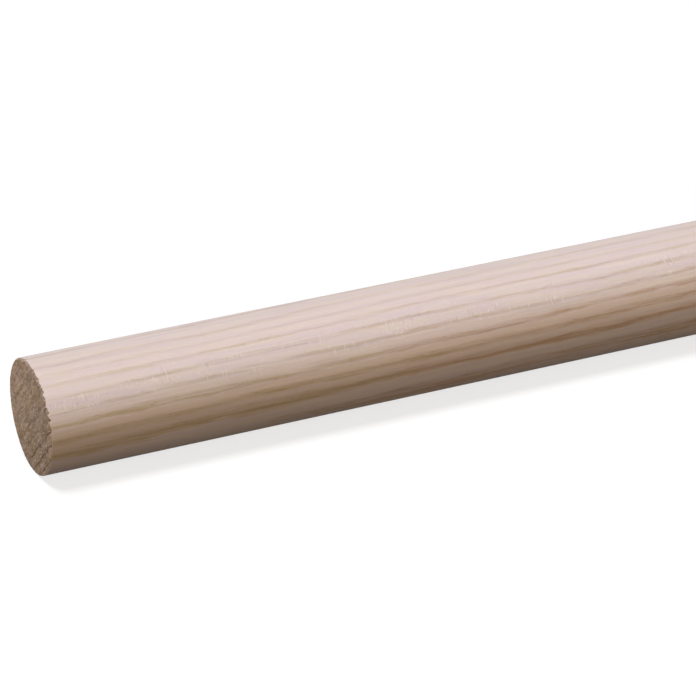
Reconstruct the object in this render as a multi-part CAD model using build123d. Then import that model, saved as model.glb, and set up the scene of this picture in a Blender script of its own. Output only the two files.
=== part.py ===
from build123d import *
import os

# Round wooden dowel rod.
#
# One length of straight-grained softwood, planed round on a dowel machine and
# crosscut square to stock length. It has no bore, groove, taper or fitting, so
# it is one solid of constant round section.
#
# Frame: the rod lies level along X, with +Z up and the origin on its axis,
# halfway along. Both ends are alike, so either may point along -X.
# Units are millimetres.

# ---- driving dimensions ----
ROD_DIAMETER = 28.0  # stock diameter, measured across the planed round
ROD_LENGTH = 1000.0  # stock length, from sawn face to sawn face
ARRIS_RADIUS = 0.2  # the saw's sharp edge at each end, dulled by handling

# ---- derived places ----
LEFT_FACE_X = -ROD_LENGTH / 2


def make_dowel_rod():
    """The planed round, crosscut at both ends, with each sawn edge dulled."""
    left_face = Plane.YZ.offset(LEFT_FACE_X)
    planed_round = extrude(left_face * Circle(ROD_DIAMETER / 2), ROD_LENGTH)
    sawn_edges = planed_round.faces().filter_by(Axis.X).edges()
    return fillet(sawn_edges, ARRIS_RADIUS)


os.makedirs("parts", exist_ok=True)
export_step(make_dowel_rod(), "parts/dowel_rod.step")
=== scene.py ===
# %% [markdown]
# # A wooden dowel rod
#
# A dowel rod starts as a square strip of straight-grained softwood. A dowel machine spins its cutters
# round the strip and planes it round, and a crosscut saw takes it to length. Nothing is put on it after
# that, so all that there is to see is the wood: its growth rings, its rays, and what the two tools left.
#
# The rod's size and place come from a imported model, which is loaded first and never changed.

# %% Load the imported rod
import bpy
import math
from collections import namedtuple
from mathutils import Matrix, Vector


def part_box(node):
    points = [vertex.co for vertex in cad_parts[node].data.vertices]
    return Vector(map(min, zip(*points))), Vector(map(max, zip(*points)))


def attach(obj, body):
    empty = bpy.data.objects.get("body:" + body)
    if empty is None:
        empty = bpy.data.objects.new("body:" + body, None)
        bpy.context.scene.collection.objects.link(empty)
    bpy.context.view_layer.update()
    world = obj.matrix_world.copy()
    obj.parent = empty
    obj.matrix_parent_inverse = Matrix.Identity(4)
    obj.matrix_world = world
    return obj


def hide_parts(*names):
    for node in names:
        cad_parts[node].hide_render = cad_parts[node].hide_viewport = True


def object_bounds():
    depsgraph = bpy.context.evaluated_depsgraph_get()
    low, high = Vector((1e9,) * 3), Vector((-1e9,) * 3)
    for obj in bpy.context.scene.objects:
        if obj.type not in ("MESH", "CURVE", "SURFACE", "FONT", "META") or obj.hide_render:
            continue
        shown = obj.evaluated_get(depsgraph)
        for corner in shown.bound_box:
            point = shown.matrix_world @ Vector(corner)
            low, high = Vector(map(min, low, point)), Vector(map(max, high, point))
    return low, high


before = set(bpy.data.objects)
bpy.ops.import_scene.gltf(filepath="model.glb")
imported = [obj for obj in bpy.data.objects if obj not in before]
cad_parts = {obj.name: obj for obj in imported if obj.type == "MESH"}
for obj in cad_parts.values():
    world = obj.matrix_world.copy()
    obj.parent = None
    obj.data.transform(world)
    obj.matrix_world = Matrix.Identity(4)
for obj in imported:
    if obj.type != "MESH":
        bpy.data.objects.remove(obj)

from types import SimpleNamespace
from mathutils import Vector

packed_low, packed_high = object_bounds()
MM = 0.001  # one millimetre, in the metres that this scene uses

print("packed box, in mm:", [round(c / MM, 2) for c in packed_high - packed_low])

# %% [markdown]
# Two numbers say all about the rod's shape. Its box is a hair flatter one way than the other, because
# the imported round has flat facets, so the smaller way gives a radius that stays inside the box all round.

# %% Measure the rod
low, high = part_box("dowel_rod")
LENGTH = high.x - low.x
RADIUS = min(high.y - low.y, high.z - low.z) / 2
SAWN_END = low.x
print(f"rod: {LENGTH / MM:.1f} mm long, {RADIUS / MM:.3f} mm in radius")

# %% [markdown]
# ## The camera
#
# The rod is looked at from its sawn end, a little from above, through a long lens. A long lens stands
# far back and keeps the two sides of the rod nearly parallel. It frames less than a fifth of a rod that
# is a metre long, so it aims at a point close to that end.

# %% Set up the camera
CAMERA_AZIMUTH = math.radians(-24.86)
CAMERA_ELEVATION = math.radians(26.88)
CAMERA_DISTANCE = 805.4 * MM
AIM_FROM_END = 81.0 * MM
AIM_ABOVE_AXIS = 0.63 * MM
FOCAL_LENGTH = 174.1  # a lens is given in millimetres, whatever the scene's own unit
SENSOR_WIDTH = 36.0

towards_camera = Vector((
    math.sin(CAMERA_AZIMUTH) * math.cos(CAMERA_ELEVATION),
    -math.cos(CAMERA_AZIMUTH) * math.cos(CAMERA_ELEVATION),
    math.sin(CAMERA_ELEVATION),
))
aim = Vector((SAWN_END + AIM_FROM_END, 0, AIM_ABOVE_AXIS))

long_lens = bpy.data.cameras.new("long_lens")
long_lens.lens = FOCAL_LENGTH
long_lens.sensor_width = SENSOR_WIDTH
camera = bpy.data.objects.new("camera", long_lens)
camera.location = aim + CAMERA_DISTANCE * towards_camera
camera.rotation_mode = "QUATERNION"
camera.rotation_quaternion = (-towards_camera).to_track_quat("-Z", "Y")
bpy.context.scene.collection.objects.link(camera)
bpy.context.scene.camera = camera
bpy.context.scene.view_settings.view_transform = "Standard"
print("camera stands", round((camera.location - aim).length / MM), "mm away")

# %% [markdown]
# ## Small helpers for node trees
#
# The wood's surface and its colours are both made by nodes, and both need the same few sums. These
# helpers add one node each. A socket or a plain number can be handed in for any value, and most of the
# nodes work alike in a material and in a geometry tree.

# %% Add a node, a sum, a vector
def add(tree, kind, inputs=None, **settings):
    """One node. A value that is a socket is linked, and any other is set."""
    node = tree.nodes.new(kind)
    for name, value in settings.items():
        setattr(node, name, value)
    for key, value in (inputs or {}).items():
        if isinstance(value, bpy.types.NodeSocket):
            tree.links.new(value, node.inputs[key])
        else:
            node.inputs[key].default_value = value
    return node


def sum_of(tree, operation, *values, clamp=False):
    """One step of arithmetic. With clamp, the result is kept between 0 and 1."""
    node = add(tree, "ShaderNodeMath", dict(enumerate(values)), operation=operation, use_clamp=clamp)
    return node.outputs[0]


def vector(tree, x, y, z):
    return add(tree, "ShaderNodeCombineXYZ", {0: x, 1: y, 2: z}).outputs[0]


def parts_of(tree, place):
    return add(tree, "ShaderNodeSeparateXYZ", {0: place}).outputs[:]


def length_of(tree, y, z):
    squares = sum_of(tree, "ADD", sum_of(tree, "MULTIPLY", y, y), sum_of(tree, "MULTIPLY", z, z))
    return sum_of(tree, "SQRT", squares)


# %% Ramps between two values
def ramp(tree, value, start, end, low=0.0, high=1.0, smooth=True):
    """value taken from start..end to low..high, and held at those beyond them."""
    node = add(tree, "ShaderNodeMapRange", {0: value, 1: start, 2: end, 3: low, 4: high})
    node.interpolation_type = "SMOOTHSTEP" if smooth else "LINEAR"
    return node.outputs[0]


def centred(tree, value, size):
    """A noise from 0 to 1 as a change of up to size either way."""
    return sum_of(tree, "MULTIPLY", sum_of(tree, "SUBTRACT", value, 0.5), 2 * size)


# %% [markdown]
# Wood is built along the trunk, so nearly every pattern in it is long one way and narrow the other two.
# One helper makes such a noise: it squeezes the place by a length along the rod and a width across it,
# both in millimetres, and reads an ordinary noise there. The seed only slides the place along, so that
# no two patterns fall alike.

# %% A noise stretched along the grain
NOISE_LOW, NOISE_HIGH = 0.3, 0.7  # such a noise seldom goes beyond these


def grain_noise(tree, place, along, across, detail=1.0, seed=0.0):
    squeeze = (1 / (along * MM), 1 / (across * MM), 1 / (across * MM))
    shift = (seed, seed * 0.7, seed * 0.3)
    squeezed = add(tree, "ShaderNodeVectorMath", {0: place, 1: squeeze, 2: shift}, operation="MULTIPLY_ADD")
    noise = add(tree, "ShaderNodeTexNoise", {
        "Vector": squeezed.outputs[0], "Scale": 1.0, "Detail": detail, "Roughness": 0.5,
    })
    return noise.outputs[0]


def in_patches(tree, noise, softness):
    """A noise as patches of 0 and of 1, in equal parts, which blend over softness to either side."""
    return ramp(tree, noise, 0.5 - softness, 0.5 + softness)


# %% [markdown]
# ## How the tree grew
#
# The strip was cut far out in a big trunk, so its rings are slices of large circles and look almost
# straight, 2.5 to 3.7 mm apart. They stand aslant in the round, and the trunk wasn't quite in line with
# the strip, so they climb slowly round the rod along its length. Each ring starts with pale wood grown
# in spring, darkens through the summer, and pales again where the winter stopped it. The list gives each
# ring's outer border, measured outwards along the line from the pith through the rod's axis, then how
# much of its width is summer wood, how dark that is, and how warm the whole ring looks.

# %% The rings, one by one
Ring = namedtuple("Ring", "border late_share darkness warmth")

INNERMOST = -17.6
RINGS = [
    Ring(-14.1, 0.50, 0.30, 0.20),
    Ring(-10.4, 0.46, 0.32, 0.15),
    Ring(-6.7, 0.42, 0.24, 0.25),
    Ring(-4.2, 0.52, 0.18, 0.20),
    Ring(-1.6, 0.55, 0.29, 0.18),
    Ring(1.7, 0.52, 0.36, 0.05),
    Ring(4.9, 0.56, 0.37, 0.12),
    Ring(7.9, 0.70, 0.56, 0.50),
    Ring(10.5, 0.72, 0.64, 0.90),
    Ring(13.0, 0.78, 0.69, 0.70),
    Ring(16.1, 0.62, 0.75, 0.15),
    Ring(19.0, 0.52, 0.45, 0.20),
    Ring(21.7, 0.58, 0.60, 0.40),
    Ring(24.2, 0.50, 0.42, 0.15),
    Ring(27.2, 0.54, 0.55, 0.35),
    Ring(30.2, 0.58, 0.48, 0.20),
    Ring(33.2, 0.52, 0.52, 0.30),
]
PITH_DISTANCE = 400.0  # in millimetres, as all lengths in the rule of growth
PITH_ANGLE = math.radians(44)  # from straight up towards the back
GRAIN_SLOPE = 0.016  # how far the rings climb for each millimetre along the rod
print(len(RINGS), "rings across", round(RINGS[-1].border - INNERMOST, 1), "mm of trunk")

# %% [markdown]
# The rings are a rule in space, not a picture wrapped round the rod. The place of a point in the trunk
# decides its ring, so a ring that runs along the side meets its own line on the sawn end, whatever
# shape the rod has there. A curve node turns the distance from the pith into a count of rings, which
# grows by one from each border to the next. Its whole part is the ring, and the rest is how far through
# the year the wood was laid down.

# %% Count the rings with a curve
def ring_count(tree, outwards):
    span = RINGS[-1].border - INNERMOST
    share = ramp(tree, outwards, INNERMOST, RINGS[-1].border, smooth=False)
    curve = add(tree, "ShaderNodeFloatCurve", {"Value": share})
    points = curve.mapping.curves[0].points
    for number, ring in enumerate(RINGS[:-1], start=1):
        points.new((ring.border - INNERMOST) / span, number / len(RINGS))
    for point in points:
        point.handle_type = "VECTOR"
    curve.mapping.update()
    return sum_of(tree, "MULTIPLY", curve.outputs[0], len(RINGS))


# %% [markdown]
# Each ring's own numbers sit on a colour ramp with hard steps, one step to a ring: red holds the share
# of summer wood, green its darkness and blue the ring's warmth. Reading the ramp at the middle of a ring
# keeps clear of its edges. The node that takes a colour apart has one name in a material and another in
# a geometry tree.

# %% Look up a ring's own numbers
TAKE_COLOUR_APART = {"SHADER": "ShaderNodeSeparateColor", "GEOMETRY": "FunctionNodeSeparateColor"}


def ring_numbers(tree, count):
    middle = sum_of(tree, "DIVIDE", sum_of(tree, "ADD", sum_of(tree, "FLOOR", count), 0.5), len(RINGS))
    table = add(tree, "ShaderNodeValToRGB", {0: middle})
    table.color_ramp.interpolation = "CONSTANT"
    stops = table.color_ramp.elements
    stops.remove(stops[1])
    for number, ring in enumerate(RINGS):
        stop = stops.new(number / len(RINGS)) if number else stops[0]
        stop.color = (ring.late_share, ring.darkness, ring.warmth, 1)
    channels = add(tree, TAKE_COLOUR_APART[tree.type], {0: table.outputs[0]})
    return channels.outputs[0], channels.outputs[1], channels.outputs[2]


# %% [markdown]
# No trunk is a perfect set of tubes. Before the rings are counted, a slow noise sways them over a few
# centimetres, a quicker one frays them over a few millimetres, and the finest shifts each fibre a little
# against the next.

# %% Where in the trunk a point lies
SWAY, FRAY, FIBRE_SHIFT = 0.9, 0.40, 0.55  # millimetres to either side


def place_in_trunk(tree, place):
    """Millimetres from the pith, along the rings, along the rod, and outwards with all unevenness in it."""
    x, y, z = (sum_of(tree, "DIVIDE", part, MM) for part in parts_of(tree, place))
    aside = sum_of(tree, "SUBTRACT", y, PITH_DISTANCE * math.sin(PITH_ANGLE))
    above = sum_of(tree, "SUBTRACT", z, PITH_DISTANCE * math.cos(PITH_ANGLE))
    from_pith = length_of(tree, aside, above)
    climbed = sum_of(tree, "MULTIPLY", sum_of(tree, "SUBTRACT", x, SAWN_END / MM), GRAIN_SLOPE)
    outwards = sum_of(tree, "SUBTRACT", sum_of(tree, "ADD", from_pith, climbed), PITH_DISTANCE)
    for size, noise in (
        (SWAY, grain_noise(tree, place, along=55, across=9, seed=137)),
        (FRAY, grain_noise(tree, place, along=8, across=1.6, seed=100)),
        (FIBRE_SHIFT, grain_noise(tree, place, along=7, across=0.3, detail=2, seed=7)),
    ):
        outwards = sum_of(tree, "ADD", outwards, centred(tree, noise, size))
    sideways = sum_of(
        tree, "SUBTRACT",
        sum_of(tree, "MULTIPLY", z, math.sin(PITH_ANGLE)), sum_of(tree, "MULTIPLY", y, math.cos(PITH_ANGLE)))
    return SimpleNamespace(from_pith=from_pith, sideways=sideways, x=x, outwards=outwards)


# %% [markdown]
# Through each year the wood darkens to its fullest three quarters of the way, and then pales again up to
# the winter. Streaks along the fibres make it darker and lighter as it goes. Just before the winter come
# the last days of growth, a thin hard line, which shows most of all on the sawn end.

# %% The whole rule of growth
FULL_SUMMER = 0.76  # these four are shares of a year's growth
LAST_DAYS_START, LAST_DAYS_FULL = 0.66, 0.88
FROST = 0.86
FAINTEST_STREAK, STRONGEST_STREAK = 0.20, 1.75


def growth(tree, place):
    """What the tree laid down at a place: how dark and warm it is there, and where in the trunk it lies."""
    wood = place_in_trunk(tree, place)
    count = ring_count(tree, wood.outwards)
    late_share, darkness, wood.warmth = ring_numbers(tree, count)
    through_year = sum_of(tree, "FRACT", count)
    summer = ramp(tree, through_year, sum_of(tree, "SUBTRACT", 1.0, late_share), FULL_SUMMER)
    autumn = ramp(tree, through_year, FULL_SUMMER, 1.0, low=1.0, high=0.0)
    fibres = grain_noise(tree, place, along=18, across=0.8, detail=2, seed=123)
    streaks = ramp(tree, fibres, NOISE_LOW, NOISE_HIGH, FAINTEST_STREAK, STRONGEST_STREAK, smooth=False)
    strength = sum_of(tree, "MULTIPLY", darkness, streaks)
    wood.late = sum_of(tree, "MULTIPLY", sum_of(tree, "MULTIPLY", summer, autumn), strength, clamp=True)
    frost = ramp(tree, through_year, FROST, 1.0, low=1.0, high=0.0)
    last_days = sum_of(tree, "MULTIPLY", ramp(tree, through_year, LAST_DAYS_START, LAST_DAYS_FULL), frost)
    wood.line = sum_of(tree, "MULTIPLY", last_days, sum_of(tree, "MULTIPLY", darkness, darkness))
    return wood


# %% [markdown]
# ## The planed side
#
# Planed and left bare, softwood is matt and pale. Four things colour it, and each is its own few nodes:
# the wood between the rings, which wanders between cream and a cooler pink; the summer wood, golden to
# brown; the fibres, as fine streaks along the rod; and the rays.

# %% Mixing colours
def mixed(tree, share, first, second):
    """The first colour where share is 0, and the second where it is 1."""
    node = add(tree, "ShaderNodeMix", {"Factor": share}, data_type="RGBA")
    for socket, colour in ((6, first), (7, second)):
        if isinstance(colour, bpy.types.NodeSocket):
            tree.links.new(colour, node.inputs[socket])
        else:
            node.inputs[socket].default_value = (*colour, 1)
    return node.outputs[2]


def brightened(tree, colour, factor):
    """The colour times a number."""
    return add(tree, "ShaderNodeVectorMath", {0: colour, "Scale": factor}, operation="SCALE").outputs[0]


# %% The planed wood's colours
CREAM = (0.770, 0.630, 0.545)
PINK = (0.745, 0.600, 0.570)
WARM = (0.690, 0.520, 0.390)
SUMMER_GOLD = (0.525, 0.380, 0.215)
SUMMER_BROWN = (0.520, 0.325, 0.205)
RAY_PALE = (0.870, 0.750, 0.660)
RAY_DARK = (0.540, 0.410, 0.330)
CANAL_BROWN = (0.330, 0.215, 0.140)

# %% [markdown]
# Rays are thin ribbons of cells that run out from the pith. Where the planed surface happens to lie
# along them they show as short ticks across the grain, and elsewhere they are too thin to see. The nodes
# do the same: a noise is squeezed to a ray's height along the trunk, its reach out from the pith and its
# thickness, and it is kept where the surface lies near to that line. A patchy noise gathers the ticks
# into groups, because not every fibre has a ray behind it.

# %% Ray flecks
RAY_HEIGHT = 0.42
RAY_REACH = 1.9
RAY_THICKNESS = 0.6
RAY_STAGGER = 3.0
PALE_RAYS_FROM, PALE_RAYS_FULL = 0.62, 0.72  # the noise's highest spots are the pale rays
DARK_RAYS_FROM, DARK_RAYS_FULL = 0.36, 0.24  # and its lowest spots the dark ones
GROUPS_FROM, GROUPS_FULL = 0.48, 0.60
BETWEEN_GROUPS = 0.10
RAY_LINE = 2.2  # measured as a ring's border is: here the planed surface lies along the rays
RAY_SEEN_WELL, RAY_SEEN_AT_ALL = 1.0, 5.0  # millimetres to either side of that line


def ray_flecks(tree, place, wood):
    """Two masks, for rays that catch the light and rays that look dark."""
    stagger = centred(tree, grain_noise(tree, place, along=2.5, across=4, seed=12), RAY_STAGGER)
    ribbon = vector(
        tree,
        sum_of(tree, "DIVIDE", wood.x, RAY_HEIGHT),
        sum_of(tree, "DIVIDE", sum_of(tree, "ADD", wood.from_pith, stagger), RAY_REACH),
        sum_of(tree, "DIVIDE", wood.sideways, RAY_THICKNESS))
    noise = add(tree, "ShaderNodeTexNoise", {"Vector": ribbon, "Scale": 1.0, "Detail": 0.0}).outputs[0]
    off_line = sum_of(tree, "ABSOLUTE", sum_of(tree, "SUBTRACT", wood.outwards, RAY_LINE))
    near_line = ramp(tree, off_line, RAY_SEEN_WELL, RAY_SEEN_AT_ALL, low=1.0, high=0.0)
    gathering = grain_noise(tree, place, along=9, across=2.2, seed=13)
    groups = ramp(tree, gathering, GROUPS_FROM, GROUPS_FULL, BETWEEN_GROUPS, 1.0)
    here = sum_of(tree, "MULTIPLY", near_line, groups)
    pale = sum_of(tree, "MULTIPLY", ramp(tree, noise, PALE_RAYS_FROM, PALE_RAYS_FULL), here)
    dark = sum_of(tree, "MULTIPLY", ramp(tree, noise, DARK_RAYS_FROM, DARK_RAYS_FULL), here)
    return pale, dark


# %% [markdown]
# The base colour is laid down in the order in which the eye finds it: the pale wood, then the summer
# wood over it, then three finenesses of fibre, which only make it a little lighter and darker.

# %% The planed side's colour
LINE_ON_SIDE = 0.1  # how much the last days of growth add to the summer wood
FIBRE_LIGHT = 0.05
BUNDLE_LIGHT = 0.07
NAP_LIGHT = 0.05


def planed_colour(tree, place, wood):
    """The colour without rays, and the fibres that its shine and its relief need too."""
    blotch = grain_noise(tree, place, along=14, across=1.4, detail=2, seed=11)
    spring = mixed(tree, in_patches(tree, blotch, 0.15), CREAM, PINK)
    spring = mixed(tree, wood.warmth, spring, WARM)
    drift = grain_noise(tree, place, along=110, across=14, seed=58)
    summer = mixed(tree, in_patches(tree, drift, 0.15), SUMMER_GOLD, SUMMER_BROWN)
    dark = sum_of(tree, "ADD", wood.late, sum_of(tree, "MULTIPLY", wood.line, LINE_ON_SIDE), clamp=True)
    colour = mixed(tree, dark, spring, summer)
    fibres = grain_noise(tree, place, along=14, across=0.22, detail=2, seed=23)
    bundles = grain_noise(tree, place, along=40, across=0.9, seed=29)
    nap = grain_noise(tree, place, along=1.6, across=0.3, seed=37)
    light = sum_of(tree, "ADD", centred(tree, fibres, FIBRE_LIGHT), centred(tree, bundles, BUNDLE_LIGHT))
    light = sum_of(tree, "ADD", light, centred(tree, nap, NAP_LIGHT))
    return brightened(tree, colour, sum_of(tree, "ADD", light, 1.0)), fibres


# %% [markdown]
# Short brown dashes in the summer wood are resin canals that the plane has cut open lengthwise. The
# planed surface is matt. The harder summer wood takes a slightly better polish from the plane, and
# fibres and rays stand up by hundredths of a millimetre, which a bump is enough for.

# %% Build the planed wood
PALE_RAY_SHARE = 0.50
DARK_RAY_SHARE = 0.30
CANAL_SHARE = 0.3
CANALS_FROM, CANALS_FULL = 0.58, 0.68
SUMMER_FROM, SUMMER_FULL = 0.15, 0.5
PLANED_ROUGHNESS = 0.68
SUMMER_POLISH = 0.12
FIBRE_ROUGHNESS = 0.06
PLANED_SHINE = 0.12
RAY_RELIEF = 0.6  # beside a fibre's relief
PLANED_RELIEF = 0.03 * MM


def new_material(name):
    material = bpy.data.materials.new(name)
    material.use_nodes = True
    tree = material.node_tree
    shader = tree.nodes["Principled BSDF"]
    place = add(tree, "ShaderNodeTexCoord").outputs["Object"]
    return material, tree, shader, place


def planed_wood():
    material, tree, shader, place = new_material("planed_softwood")
    wood = growth(tree, place)
    colour, fibres = planed_colour(tree, place, wood)
    pale, dark = ray_flecks(tree, place, wood)
    colour = mixed(tree, sum_of(tree, "MULTIPLY", pale, PALE_RAY_SHARE), colour, RAY_PALE)
    colour = mixed(tree, sum_of(tree, "MULTIPLY", dark, DARK_RAY_SHARE), colour, RAY_DARK)
    dashes = grain_noise(tree, place, along=1.8, across=0.28, seed=31)
    in_summer_wood = ramp(tree, wood.late, SUMMER_FROM, SUMMER_FULL)
    canals = sum_of(tree, "MULTIPLY", ramp(tree, dashes, CANALS_FROM, CANALS_FULL), in_summer_wood)
    colour = mixed(tree, sum_of(tree, "MULTIPLY", canals, CANAL_SHARE), colour, CANAL_BROWN)
    tree.links.new(colour, shader.inputs["Base Color"])
    rough = sum_of(tree, "SUBTRACT", PLANED_ROUGHNESS, sum_of(tree, "MULTIPLY", wood.late, SUMMER_POLISH))
    rough = sum_of(tree, "ADD", rough, centred(tree, fibres, FIBRE_ROUGHNESS))
    tree.links.new(rough, shader.inputs["Roughness"])
    shader.inputs["Specular IOR Level"].default_value = PLANED_SHINE
    rays = sum_of(tree, "MULTIPLY", sum_of(tree, "SUBTRACT", pale, dark), RAY_RELIEF)
    height = sum_of(tree, "ADD", fibres, rays)
    bump = add(tree, "ShaderNodeBump", {"Strength": 0.5, "Distance": PLANED_RELIEF, "Height": height})
    tree.links.new(bump.outputs[0], shader.inputs["Normal"])
    return material


side_material = planed_wood()
print("side material has", len(side_material.node_tree.nodes), "nodes")

# %% [markdown]
# ## The sawn end
#
# Across the grain the saw cuts the fibres off short. Their open ends drink in the light, so the same wood
# looks darker there. It drifts between a rosy and a golden brown, and streaks along the rings make it
# lighter and darker. The torn fibres leave it rough: pale stubs that stand up and dark pits beside them.
# The dark lines of the rings run on from the side, because the rule is the same.

# %% The sawn wood's colours, and its own noise
END_ROSY = (0.528, 0.382, 0.295)
END_GOLDEN = (0.490, 0.353, 0.240)
END_SUMMER = (0.190, 0.115, 0.075)
STUB_PALE = (0.860, 0.680, 0.520)
# the dark of the pits, and also the painted shade in the torn edge's notches
PIT_DARK_AND_NOTCH_SHADE = (0.150, 0.085, 0.055)


def end_noise(tree, wood, out_from_pith, aside, detail, seed):
    """A noise on the sawn end, out_from_pith by aside in millimetres, whose grains follow the rings."""
    spot = vector(
        tree,
        sum_of(tree, "DIVIDE", wood.from_pith, out_from_pith),
        sum_of(tree, "DIVIDE", wood.sideways, aside), seed)
    return add(tree, "ShaderNodeTexNoise", {"Vector": spot, "Scale": 1.0, "Detail": detail}).outputs[0]


# %% [markdown]
# A ring's line is stronger in one place than in another, so a broad noise fades it. The end is a little
# darker towards its lower front, further from the pith, than towards its upper back. Where the edge is torn,
# the notches' shade is painted in darker: the geometry marks those points with a number named "torn", made
# further down.

# %% The sawn end's colour
DARKEST_STREAK, LIGHTEST_STREAK = 0.70, 1.32
INNER_SIDE, OUTER_SIDE = -12.0, 6.0
INNER_LIGHT, OUTER_LIGHT = 1.15, 0.92
LINE_ON_END = 3.2
LATE_ON_END = 0.2
FADED_AT, WHOLE_AT = 0.3, 0.55
FAINTEST_LINE = 0.6
GRIT_LIGHT = 0.26
STUBS_FROM, STUBS_FULL = 0.56, 0.72  # the specks' highest spots are stubs
PITS_FROM, PITS_FULL = 0.42, 0.26  # and their lowest spots pits
# how far the torn edge is darkened by painted notch shade
NOTCH_SHADE_SHARE = 0.45


def sawn_colour(tree, wood, specks):
    """The colour of the end, with a stub or a pit where the specks are high or low."""
    hues = end_noise(tree, wood, out_from_pith=4.0, aside=8.0, detail=1.0, seed=6.0)
    streaks = end_noise(tree, wood, out_from_pith=1.0, aside=4.5, detail=2.0, seed=4.0)
    grit = end_noise(tree, wood, out_from_pith=0.35, aside=0.9, detail=0.0, seed=12.0)
    fading = end_noise(tree, wood, out_from_pith=6.0, aside=6.0, detail=0.0, seed=2.0)
    colour = mixed(tree, in_patches(tree, hues, 0.10), END_ROSY, END_GOLDEN)
    streaks = ramp(tree, streaks, NOISE_LOW, NOISE_HIGH, DARKEST_STREAK, LIGHTEST_STREAK, smooth=False)
    colour = brightened(tree, colour, streaks)
    # Darker towards the lower front of the end, further from the pith, and lighter towards its upper back.
    across = ramp(tree, wood.outwards, INNER_SIDE, OUTER_SIDE, INNER_LIGHT, OUTER_LIGHT, smooth=False)
    colour = brightened(tree, colour, across)
    last_days = sum_of(tree, "MULTIPLY", wood.line, LINE_ON_END)
    line = sum_of(tree, "ADD", last_days, sum_of(tree, "MULTIPLY", wood.late, LATE_ON_END))
    kept = ramp(tree, fading, FADED_AT, WHOLE_AT, FAINTEST_LINE, 1.0)
    line = sum_of(tree, "MULTIPLY", line, kept, clamp=True)
    colour = mixed(tree, line, colour, END_SUMMER)
    colour = brightened(tree, colour, sum_of(tree, "ADD", centred(tree, grit, GRIT_LIGHT), 1.0))
    colour = mixed(tree, ramp(tree, specks, STUBS_FROM, STUBS_FULL), colour, STUB_PALE)
    colour = mixed(tree, ramp(tree, specks, PITS_FROM, PITS_FULL), colour, PIT_DARK_AND_NOTCH_SHADE)
    # Painted shade of the notches: the end is darkened where the edge is torn, as much as it is torn.
    torn = add(tree, "ShaderNodeAttribute", attribute_name="torn").outputs["Fac"]
    return mixed(tree, sum_of(tree, "MULTIPLY", torn, NOTCH_SHADE_SHARE, clamp=True), colour, PIT_DARK_AND_NOTCH_SHADE)


# %% [markdown]
# The sawn end has hardly any shine. Its specks are real roughness, so the noise that colours them also
# makes the surface's roughness and its bump.

# %% Build the sawn wood
LEAST_ROUGH, MOST_ROUGH = 0.75, 0.9
SAWN_SHINE = 0.08
SPECK_RELIEF = 0.07 * MM


def sawn_wood():
    material, tree, shader, place = new_material("sawn_softwood")
    wood = growth(tree, place)
    specks = end_noise(tree, wood, out_from_pith=0.45, aside=1.6, detail=3.0, seed=8.0)
    tree.links.new(sawn_colour(tree, wood, specks), shader.inputs["Base Color"])
    rough = ramp(tree, specks, NOISE_LOW, NOISE_HIGH, LEAST_ROUGH, MOST_ROUGH)
    tree.links.new(rough, shader.inputs["Roughness"])
    shader.inputs["Specular IOR Level"].default_value = SAWN_SHINE
    bump = add(tree, "ShaderNodeBump", {"Strength": 1.0, "Distance": SPECK_RELIEF, "Height": specks})
    tree.links.new(bump.outputs[0], shader.inputs["Normal"])
    return material


end_material = sawn_wood()
print("end material has", len(end_material.node_tree.nodes), "nodes")

# %% [markdown]
# ## The rod
#
# The rod follows a rule, so Geometry Nodes make it. A flat grid is rolled into the round side, with its
# rows crowded towards the two ends, where the saw left its marks. Each end is a square grid pressed into
# a disc, which keeps its cells even in size, where a fan of triangles would crowd at the middle. A square
# with as many cells to a side as a quarter of the columns meets the side's edge point for point, so the
# three pieces weld into one closed skin. Only then is the skin moved, by sums that depend on the place
# alone, so no crack can open.

# %% Helpers for the geometry trees
def new_tree(name):
    tree = bpy.data.node_groups.new(name, "GeometryNodeTree")
    tree.interface.new_socket("Geometry", in_out="OUTPUT", socket_type="NodeSocketGeometry")
    return tree


def named_inputs(tree, values):
    """Gives the tree an input for each name, and returns their sockets and identifiers by name."""
    kinds = {float: "NodeSocketFloat", int: "NodeSocketInt", bpy.types.Material: "NodeSocketMaterial"}
    entry = tree.nodes.new("NodeGroupInput")
    identifiers = {}
    for name, value in values.items():
        socket = tree.interface.new_socket(name, in_out="INPUT", socket_type=kinds[type(value)])
        identifiers[name] = socket.identifier
    return {name: entry.outputs[name] for name in values}, identifiers


def own_position(tree):
    return tree.nodes.new("GeometryNodeInputPosition").outputs[0]


# %% Make a plain mesh with a tree
def made_by(tree, identifiers, values, name):
    """Runs the tree on an empty mesh with these values, and returns the result as a plain mesh object."""
    carrier = bpy.data.objects.new(name + "_carrier", bpy.data.meshes.new(name + "_seed"))
    bpy.context.scene.collection.objects.link(carrier)
    modifier = carrier.modifiers.new("make", "NODES")
    modifier.node_group = tree
    for key, value in values.items():
        modifier[identifiers[key]] = value
    evaluated = carrier.evaluated_get(bpy.context.evaluated_depsgraph_get())
    mesh = bpy.data.meshes.new_from_object(evaluated)
    mesh.name = name
    mesh.materials.pop(index=0)  # the empty slot that the seed's mesh started with
    bpy.data.objects.remove(carrier)
    piece = bpy.data.objects.new(name, mesh)
    bpy.context.scene.collection.objects.link(piece)
    return piece


# %% [markdown]
# A finished rod needs a flat map for anyone who paints it or stores its colours as a picture. A metre of
# rod with an 88 mm skin is far too long for a square, so the side is cut into three lengths that are laid
# one above another, and the two ends lie above them.

# %% Where the map's parts lie
LENGTHS_OF_SIDE = 3
SIDE_SHARE = 0.86
MAP_MARGIN = 0.03


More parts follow.
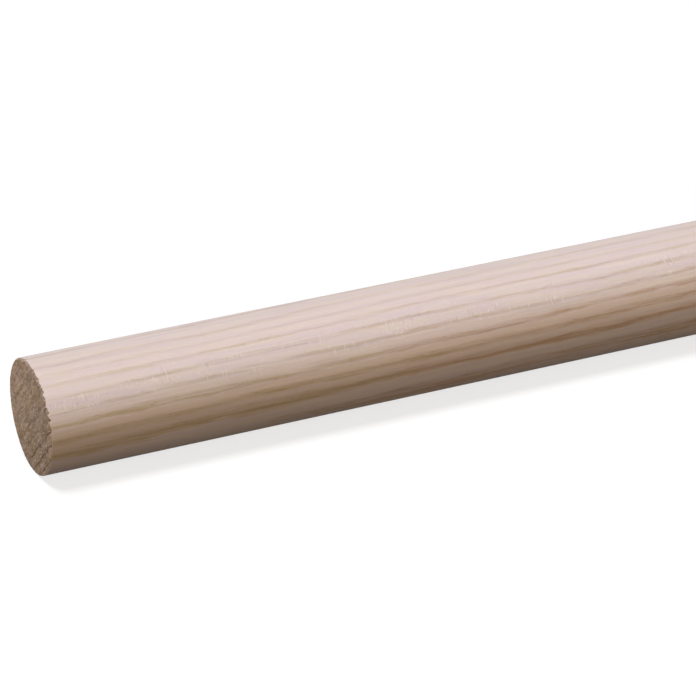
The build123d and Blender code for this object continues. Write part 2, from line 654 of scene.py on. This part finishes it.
def side_map(tree, along, around):
    """The map of the side: a whole face goes with the length that its middle is in."""
    face_along = add(tree, "GeometryNodeFieldOnDomain", {0: along}, data_type="FLOAT", domain="FACE")
    number = sum_of(tree, "FLOOR", sum_of(tree, "MULTIPLY", face_along.outputs[0], LENGTHS_OF_SIDE))
    within = sum_of(tree, "SUBTRACT", sum_of(tree, "MULTIPLY", along, LENGTHS_OF_SIDE), number)
    across = ramp(tree, within, 0, 1, MAP_MARGIN, 1 - MAP_MARGIN, smooth=False)
    across.node.clamp = False
    inside = ramp(tree, around, 0, 1, MAP_MARGIN / 2, 1 - MAP_MARGIN / 2, smooth=False)
    upwards = sum_of(tree, "MULTIPLY", sum_of(tree, "ADD", number, inside), SIDE_SHARE / LENGTHS_OF_SIDE)
    return vector(tree, across, upwards, 0.0)


def end_map(tree, p, q, outwards):
    """The map of one end, from its place in a round of radius 1: the -X end on the left."""
    map_radius = (1 - SIDE_SHARE) / 2 * (1 - 4 * MAP_MARGIN)
    map_middle = 0.25 if outwards < 0 else 0.75
    return vector(
        tree,
        sum_of(tree, "MULTIPLY_ADD", p, map_radius, map_middle),
        sum_of(tree, "MULTIPLY_ADD", q, map_radius, (1 + SIDE_SHARE) / 2), 0.0)


def with_map(tree, grid, spot):
    mapped = add(tree, "GeometryNodeStoreNamedAttribute",
                 {"Geometry": grid.outputs[0], "Name": "OFBake", "Value": spot},
                 data_type="FLOAT2", domain="CORNER")
    return mapped.outputs[0]


# %% [markdown]
# Rolling a grid is a change of place: the way along it becomes the way along the rod, and the way across
# it a full turn. The rows are crowded by a curve that is steep in the middle and flat at both ends.

# %% Roll a grid into the side
def rolled_side(tree, given):
    rows = sum_of(tree, "ADD", given["Rows"], 1)
    columns = sum_of(tree, "ADD", sum_of(tree, "MULTIPLY", given["Columns in a quarter"], 4), 1)
    grid = add(tree, "GeometryNodeMeshGrid", {"Vertices X": rows, "Vertices Y": columns})
    u, v, _ = parts_of(tree, own_position(tree))
    crowding = given["Crowding"]
    curved = sum_of(tree, "TANH", sum_of(tree, "MULTIPLY", sum_of(tree, "MULTIPLY", u, 2), crowding))
    spread = sum_of(tree, "DIVIDE", curved, sum_of(tree, "TANH", crowding))
    along = sum_of(tree, "ADD", sum_of(tree, "DIVIDE", spread, 2), 0.5)
    around = sum_of(tree, "ADD", v, 0.5)
    mapped = with_map(tree, grid, side_map(tree, along, around))
    turn = sum_of(tree, "MULTIPLY", around, 2 * math.pi)
    rolled = vector(
        tree,
        sum_of(tree, "MULTIPLY", sum_of(tree, "SUBTRACT", along, 0.5), given["Length"]),
        sum_of(tree, "MULTIPLY", sum_of(tree, "SINE", turn), given["Radius"]),
        sum_of(tree, "MULTIPLY", sum_of(tree, "COSINE", turn), given["Radius"]))
    side = add(tree, "GeometryNodeSetPosition", {"Geometry": mapped, "Position": rolled})
    return side.outputs[0]


# %% [markdown]
# A square becomes a disc when each of its square outlines is bent into a circle of the same half-width.
# Going along an outline's edge then goes evenly round an eighth of the circle.

# %% Press a square into a disc
def pressed_square(tree, u, v):
    """The place in a round of radius 1 of a point of the square from -1 to 1.

    At the very middle both are 0, and there the divide node gives 0.
    """
    eighth = math.pi / 4
    wide = sum_of(tree, "GREATER_THAN", sum_of(tree, "ABSOLUTE", u), sum_of(tree, "ABSOLUTE", v))
    wide_turn = sum_of(tree, "MULTIPLY", sum_of(tree, "DIVIDE", v, u), eighth)
    tall_turn = sum_of(tree, "MULTIPLY", sum_of(tree, "DIVIDE", u, v), eighth)
    pairs = (
        (sum_of(tree, "MULTIPLY", u, sum_of(tree, "COSINE", wide_turn)),
         sum_of(tree, "MULTIPLY", v, sum_of(tree, "SINE", tall_turn))),
        (sum_of(tree, "MULTIPLY", u, sum_of(tree, "SINE", wide_turn)),
         sum_of(tree, "MULTIPLY", v, sum_of(tree, "COSINE", tall_turn))),
    )
    return [
        add(tree, "ShaderNodeMix", {0: wide, 2: tall, 3: wider}, data_type="FLOAT").outputs[0]
        for wider, tall in pairs
    ]


# %% Make one end
def pressed_end(tree, given, outwards):
    """The end at -X where outwards is -1, and the one at +X where it is 1."""
    cells = sum_of(tree, "ADD", given["Columns in a quarter"], 1)
    grid = add(tree, "GeometryNodeMeshGrid", {"Vertices X": cells, "Vertices Y": cells})
    u, v, _ = parts_of(tree, own_position(tree))
    p, q = pressed_square(tree, sum_of(tree, "MULTIPLY", u, 2), sum_of(tree, "MULTIPLY", v, 2))
    mapped = with_map(tree, grid, end_map(tree, p, q, outwards))
    # Swapping the two directions turns a disc's outer side to face the other way.
    y, z = (p, q) if outwards > 0 else (q, p)
    pressed = vector(
        tree,
        sum_of(tree, "MULTIPLY", given["Length"], outwards / 2),
        sum_of(tree, "MULTIPLY", y, given["Radius"]),
        sum_of(tree, "MULTIPLY", z, given["Radius"]))
    disc = add(tree, "GeometryNodeSetPosition", {"Geometry": mapped, "Position": pressed})
    flagged = add(tree, "GeometryNodeStoreNamedAttribute",
                  {"Geometry": disc.outputs[0], "Name": "sawn", "Value": True},
                  data_type="BOOLEAN", domain="FACE")
    return flagged.outputs[0]


# %% [markdown]
# Where the teeth leave the wood they break out small bundles of fibres, so the edge is notched. A cell
# noise along the edge shares it out into bundles, a slow noise makes their widths uneven, and each cell's
# own random number says how deep its bundle broke. The notches are deepest at the edge and fade within
# about a millimetre on the end. The result is kept as "torn", which the end's colour reads too, to paint
# the notches' shade.

# %% Where the edge is broken
TEETH_LEAVE = math.radians(32)  # from straight up towards the front
UNEVENNESS = 3.0  # in notches
UNEVEN_WAVES = 0.22  # for each notch
WEDGE_HALF_WIDTH = 0.6  # in notches
SHALLOWEST = 0.2  # as a share of the deepest notch
TORN_FROM, TORN_FULL = 0.40, 0.80  # the cosine of the turn away from where the teeth leave
SHELTERED_SIDE = 0.06  # how torn the edge is where the teeth come in
NOTCH_FADE_ON_END = 1.2 * MM


def notches(tree, given):
    """How far the broken bundles of fibres leave the edge short, from 0 to 1."""
    _, y, z = parts_of(tree, own_position(tree))
    from_edge = sum_of(tree, "SUBTRACT", given["Radius"], length_of(tree, y, z))
    turn = sum_of(tree, "ARCTAN2", y, z)
    along_edge = sum_of(tree, "MULTIPLY", turn, sum_of(tree, "DIVIDE", given["Radius"], given["Notch pitch"]))
    uneven = add(tree, "ShaderNodeTexNoise", {"W": along_edge, "Scale": UNEVEN_WAVES, "Detail": 0.0},
                 noise_dimensions="1D").outputs[0]
    along_edge = sum_of(tree, "ADD", along_edge, centred(tree, uneven, UNEVENNESS))
    bundles = add(tree, "ShaderNodeTexVoronoi", {"W": along_edge, "Scale": 1.0, "Randomness": 0.9},
                  voronoi_dimensions="1D").outputs
    wedge = ramp(tree, bundles["Distance"], 0.0, WEDGE_HALF_WIDTH, 1.0, 0.0, smooth=False)
    chance = ramp(tree, parts_of(tree, bundles["Color"])[0], 0.0, 1.0, SHALLOWEST, 1.0, smooth=False)
    towards_front = sum_of(tree, "COSINE", sum_of(tree, "ADD", turn, TEETH_LEAVE))
    side = ramp(tree, towards_front, TORN_FROM, TORN_FULL, SHELTERED_SIDE, 1.0)
    near = ramp(tree, from_edge, 0.0, NOTCH_FADE_ON_END, 1.0, 0.0)
    depth = sum_of(tree, "MULTIPLY", sum_of(tree, "MULTIPLY", wedge, chance), side)
    return sum_of(tree, "MULTIPLY", depth, near)


# %% [markdown]
# The skin is moved in four ways, all of them inwards. The notches and the saw's roughness push each end
# back, and another 0.3 mm is kept free there for the torn fibres that stand on it. The side's rows only
# move up to make room, over the first few millimetres. The plane takes the soft spring wood down a
# little further than the hard summer wood, so the rings stand up by as much as two hundredths of a
# millimetre. And the sharp edge between side and end is crumbled unevenly.

# %% Notches, roughness, raised grain and the broken edge
ROUGHNESS_GRAIN = 0.6 * MM
ROOM_ON_SIDE = 3 * MM
RIM_WIDTH = 0.4 * MM
EDGE_BREAK_WIDTH = 0.25 * MM


def tool_marks(tree, given):
    """Where each point of the perfect skin really lies."""
    place = own_position(tree)
    x, y, z = parts_of(tree, place)
    half_length = sum_of(tree, "DIVIDE", given["Length"], 2)
    from_end = sum_of(tree, "SUBTRACT", half_length, sum_of(tree, "ABSOLUTE", x))
    from_edge = sum_of(tree, "SUBTRACT", given["Radius"], length_of(tree, y, z))

    rough = add(tree, "ShaderNodeTexNoise", {
        "Vector": place, "Scale": 1 / ROUGHNESS_GRAIN, "W": given["Seed"], "Detail": 2.0,
    }, noise_dimensions="4D").outputs[0]
    torn = add(tree, "GeometryNodeInputNamedAttribute", {"Name": "torn"}, data_type="FLOAT").outputs[0]
    notch = sum_of(tree, "MULTIPLY", torn, given["Notch depth"])
    dip = sum_of(tree, "MULTIPLY_ADD", rough, given["Saw roughness"], given["Fibre stand"])
    fade = ramp(tree, from_end, 0.0, ROOM_ON_SIDE, 1.0, 0.0, smooth=False)
    inwards = sum_of(tree, "MULTIPLY", sum_of(tree, "ADD", notch, dip), fade)

    wood = growth(tree, place)
    on_side = ramp(tree, from_edge, 0.0, RIM_WIDTH, 1.0, 0.0)
    worn = sum_of(tree, "MULTIPLY", sum_of(tree, "SUBTRACT", 1.0, wood.late), given["Raised grain"])
    broken = sum_of(tree, "MULTIPLY", ramp(tree, from_end, 0.0, EDGE_BREAK_WIDTH, 1.0, 0.0),
                    sum_of(tree, "MULTIPLY", rough, given["Edge break"]))
    shrink = sum_of(tree, "MULTIPLY", sum_of(tree, "ADD", worn, broken), on_side)
    scale = sum_of(tree, "SUBTRACT", 1.0, sum_of(tree, "DIVIDE", shrink, given["Radius"]))
    moved_x = sum_of(tree, "SUBTRACT", x, sum_of(tree, "MULTIPLY", inwards, sum_of(tree, "SIGN", x)))
    return vector(tree, moved_x, sum_of(tree, "MULTIPLY", y, scale), sum_of(tree, "MULTIPLY", z, scale))


# %% [markdown]
# The tree joins the side and the two ends, welds them, marks the torn edge and then moves every point.
# The faces that were flagged as sawn get the end's wood, and all others the side's. Its named inputs are
# the numbers that someone would want to change on another rod.

# %% Put the rod's tree together
WELD_WITHIN = 0.002 * MM


def rod_tree(values):
    tree = new_tree("planed_rod")
    given, identifiers = named_inputs(tree, values)
    joined = add(tree, "GeometryNodeJoinGeometry")
    for part in (pressed_end(tree, given, -1), rolled_side(tree, given), pressed_end(tree, given, 1)):
        tree.links.new(part, joined.inputs[0])
    welded = add(tree, "GeometryNodeMergeByDistance", {
        "Geometry": joined.outputs[0], "Distance": WELD_WITHIN})
    torn = add(tree, "GeometryNodeStoreNamedAttribute", {
        "Geometry": welded.outputs[0], "Name": "torn", "Value": notches(tree, given)},
        data_type="FLOAT", domain="POINT")
    marked = add(tree, "GeometryNodeSetPosition",
                 {"Geometry": torn.outputs[0], "Position": tool_marks(tree, given)})
    smooth = add(tree, "GeometryNodeSetShadeSmooth", {"Geometry": marked.outputs[0]})
    real = add(tree, "GeometryNodeRealizeInstances", {"Geometry": smooth.outputs[0]})
    side = add(tree, "GeometryNodeSetMaterial", {"Geometry": real.outputs[0], "Material": given["Side wood"]})
    sawn = add(tree, "GeometryNodeInputNamedAttribute", {"Name": "sawn"}, data_type="BOOLEAN")
    ends = add(tree, "GeometryNodeSetMaterial", {
        "Geometry": side.outputs[0], "Selection": sawn.outputs[0], "Material": given["End wood"]})
    tree.links.new(ends.outputs[0], tree.nodes.new("NodeGroupOutput").inputs[0])
    return tree, identifiers


# %% Make the rod
rod_values = {
    "Length": LENGTH,
    "Radius": RADIUS,
    "Columns in a quarter": 128,
    "Rows": 110,
    "Crowding": 3.2,
    "Raised grain": 0.02 * MM,
    "Notch depth": 0.55 * MM,
    "Notch pitch": 1.4 * MM,
    "Saw roughness": 0.18 * MM,
    "Fibre stand": 0.30 * MM,
    "Edge break": 0.12 * MM,
    "Seed": 7.0,
    "Side wood": side_material,
    "End wood": end_material,
}
rod = made_by(*rod_tree(rod_values), rod_values, "planed_rod")
print("rod has", len(rod.data.vertices), "points and", len(rod.data.polygons), "faces")

# %% [markdown]
# ## Torn fibres
#
# Some fibres bend away before the teeth instead of breaking off with their bundle, and stay on the edge
# as short pale splinters. Each is a slim five-sided spike. The tree throws points along both edges, where
# the teeth leave, and stands a spike on each: its root is sunk in the wood, and its tip reaches the full
# length of the rod, which the sawn face itself stops a little short of. The same dice give a spike its
# length and its place, because both are needed to keep the tip inside.

# %% Stand spikes on the edges
TEETH_SPREAD = math.radians(75)
SPIKE_SIDES = 5
SHORTEST_SHARE = 0.5  # of the longest fibre
SHALLOWEST_ROOT, DEEPEST_ROOT = 0.20 * MM, 0.50 * MM  # under the round side
LEAN_ASIDE = 0.6
LEAN_OUT, LEAN_IN = -0.15, 0.40  # a spike leans inwards over the end, but hardly outwards


def dice(tree, low, high, seed):
    return add(tree, "FunctionNodeRandomValue", {2: low, 3: high, "Seed": seed}, data_type="FLOAT").outputs[1]


def fibre_tree(values):
    tree = new_tree("torn_fibres")
    given, identifiers = named_inputs(tree, values)
    index = tree.nodes.new("GeometryNodeInputIndex").outputs[0]
    end = sum_of(tree, "SUBTRACT", sum_of(tree, "MULTIPLY", sum_of(tree, "MODULO", index, 2), 2), 1)
    turn = dice(tree, -TEETH_LEAVE - TEETH_SPREAD, -TEETH_LEAVE + TEETH_SPREAD, seed=1)
    across, upright = sum_of(tree, "SINE", turn), sum_of(tree, "COSINE", turn)
    length = sum_of(tree, "MULTIPLY", given["Length"], dice(tree, SHORTEST_SHARE, 1.0, seed=2))
    out = sum_of(tree, "SUBTRACT", given["Radius"], dice(tree, SHALLOWEST_ROOT, DEEPEST_ROOT, seed=3))
    root = vector(
        tree,
        sum_of(tree, "MULTIPLY", end, sum_of(tree, "SUBTRACT", given["Half of the rod"], length)),
        sum_of(tree, "MULTIPLY", across, out),
        sum_of(tree, "MULTIPLY", upright, out))
    points = add(tree, "GeometryNodePoints", {"Count": given["Count"], "Position": root})
    aside = dice(tree, -LEAN_ASIDE, LEAN_ASIDE, seed=4)
    inwards = dice(tree, LEAN_OUT, LEAN_IN, seed=5)
    lean_y = sum_of(
        tree, "SUBTRACT", sum_of(tree, "MULTIPLY", aside, upright), sum_of(tree, "MULTIPLY", inwards, across))
    other_way = sum_of(tree, "MULTIPLY", aside, -1)
    lean_z = sum_of(
        tree, "SUBTRACT",
        sum_of(tree, "MULTIPLY", other_way, across), sum_of(tree, "MULTIPLY", inwards, upright))
    pointing = add(tree, "FunctionNodeAlignRotationToVector", {"Vector": vector(tree, end, lean_y, lean_z)},
                   axis="Z")
    spike = add(tree, "GeometryNodeMeshCone", {
        "Vertices": SPIKE_SIDES, "Radius Top": 0.0, "Radius Bottom": given["Root radius"], "Depth": 1.0})
    stood = add(tree, "GeometryNodeInstanceOnPoints", {
        "Points": points.outputs[0], "Instance": spike.outputs[0], "Rotation": pointing.outputs[0],
        "Scale": vector(tree, 1.0, 1.0, length)})
    real = add(tree, "GeometryNodeRealizeInstances", {"Geometry": stood.outputs[0]})
    wood = add(tree, "GeometryNodeSetMaterial", {"Geometry": real.outputs[0], "Material": given["Wood"]})
    tree.links.new(wood.outputs[0], tree.nodes.new("NodeGroupOutput").inputs[0])
    return tree, identifiers


# %% Make the torn fibres
fibre_values = {
    "Half of the rod": LENGTH / 2,
    "Radius": RADIUS,
    "Count": 220,
    "Length": 1.1 * MM,
    "Root radius": 0.08 * MM,
    "Wood": side_material,
}
torn_fibres = made_by(*fibre_tree(fibre_values), fibre_values, "torn_fibres")
reach = max(abs(point.co.x) for point in torn_fibres.data.vertices)
spikes = len(torn_fibres.data.polygons) // (SPIKE_SIDES + 1)
print(spikes, "torn fibres, the longest reaching", round(reach / MM, 3), "mm")

# %% [markdown]
# ## The studio
#
# A plain pale floor lies just under the rod. Two broad lamps light the near end and side: a large soft
# one overhead, and a weaker one lower at the front. Two weaker ones still keep the far end and the back
# from going black. All are suns, so a metre of rod is lit alike from end to end, and their wide angle
# makes their light soft.

# %% Lamps
def lamp(name, towards, strength, width, colour):
    """A sun that stands towards this direction, and looks width degrees wide."""
    sun = bpy.data.lights.new(name, "SUN")
    sun.energy = strength
    sun.angle = math.radians(width)
    sun.color = colour
    stand = bpy.data.objects.new(name, sun)
    stand.rotation_mode = "QUATERNION"
    stand.rotation_quaternion = Vector(towards).to_track_quat("Z", "Y")
    bpy.context.scene.collection.objects.link(stand)
    print(name, "lamp:", strength)


lamp("overhead", towards=(-0.25, -0.034, 0.968), strength=2.41, width=20, colour=(0.914, 1.0, 1.149))
lamp("front", towards=(-0.60, -0.693, 0.40), strength=1.22, width=25, colour=(1.0, 0.864, 0.684))
lamp("far_end", towards=(0.97, -0.10, 0.20), strength=0.90, width=30, colour=(1.0, 1.0, 1.0))
lamp("behind", towards=(0.30, 0.95, 0.03), strength=0.60, width=40, colour=(1.0, 0.97, 0.93))

# %% [markdown]
# The floor has to look white, and still keep the rod's shadow. For the eye of the camera it is mostly a
# lamp of its own, and for the rest an ordinary pale floor that a shadow can darken. For light that
# bounces on to the rod it is a dull warm board instead, because a white floor would light the rod from
# underneath. The surroundings are white to the camera and nearly dark to the rod, for the same reason.

# %% Floor
FLOOR_HALF_WIDTH = 40.0
FLOOR_GLOW = 1.05
PAPER_SHARE = 0.3
PAPER = (1.0, 0.96, 0.89, 1)
DULL_BOARD = (0.035, 0.022, 0.016, 1)
WHITE = (1, 1, 1, 1)


def seen_directly(tree):
    """1 where the camera, or a reflection or a clear thing, looks, and 0 for bounced light."""
    path = add(tree, "ShaderNodeLightPath")
    mirrored = sum_of(tree, "MAXIMUM", path.outputs["Is Glossy Ray"], path.outputs["Is Transmission Ray"])
    return sum_of(tree, "MAXIMUM", path.outputs["Is Camera Ray"], mirrored)


def pale_floor():
    material = bpy.data.materials.new("pale_floor")
    material.use_nodes = True
    tree = material.node_tree
    tree.nodes.clear()
    glow = add(tree, "ShaderNodeEmission", {"Color": WHITE, "Strength": FLOOR_GLOW}).outputs[0]
    paper = add(tree, "ShaderNodeBsdfDiffuse", {"Color": PAPER}).outputs[0]
    board = add(tree, "ShaderNodeBsdfDiffuse", {"Color": DULL_BOARD}).outputs[0]
    white = add(tree, "ShaderNodeMixShader", {0: PAPER_SHARE, 1: glow, 2: paper}).outputs[0]
    either = add(tree, "ShaderNodeMixShader", {0: seen_directly(tree), 1: board, 2: white}).outputs[0]
    tree.links.new(either, add(tree, "ShaderNodeOutputMaterial").inputs[0])
    return material


corners = [
    (x * FLOOR_HALF_WIDTH, y * FLOOR_HALF_WIDTH, packed_low.z)
    for x, y in ((-1, -1), (1, -1), (1, 1), (-1, 1))
]
floor_mesh = bpy.data.meshes.new("floor")
floor_mesh.from_pydata(corners, [], [(0, 1, 2, 3)])
floor_mesh.materials.append(pale_floor())
floor = bpy.data.objects.new("floor", floor_mesh)
bpy.context.scene.collection.objects.link(floor)
print("floor lies at", round(packed_low.z / MM, 2), "mm")

# %% Surroundings
LIGHT_FROM_AROUND = 0.05

world = bpy.data.worlds.new("studio")
world.use_nodes = True
bpy.context.scene.world = world
background = world.node_tree.nodes["Background"]
looked_at = seen_directly(world.node_tree)
strength = ramp(world.node_tree, looked_at, 0, 1, LIGHT_FROM_AROUND, 1.0, smooth=False)
world.node_tree.links.new(strength, background.inputs["Strength"])
background.inputs["Color"].default_value = WHITE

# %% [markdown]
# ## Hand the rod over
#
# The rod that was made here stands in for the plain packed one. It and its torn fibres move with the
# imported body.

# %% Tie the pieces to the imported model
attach(rod, "root")
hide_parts("dowel_rod")
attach(torn_fibres, "root")
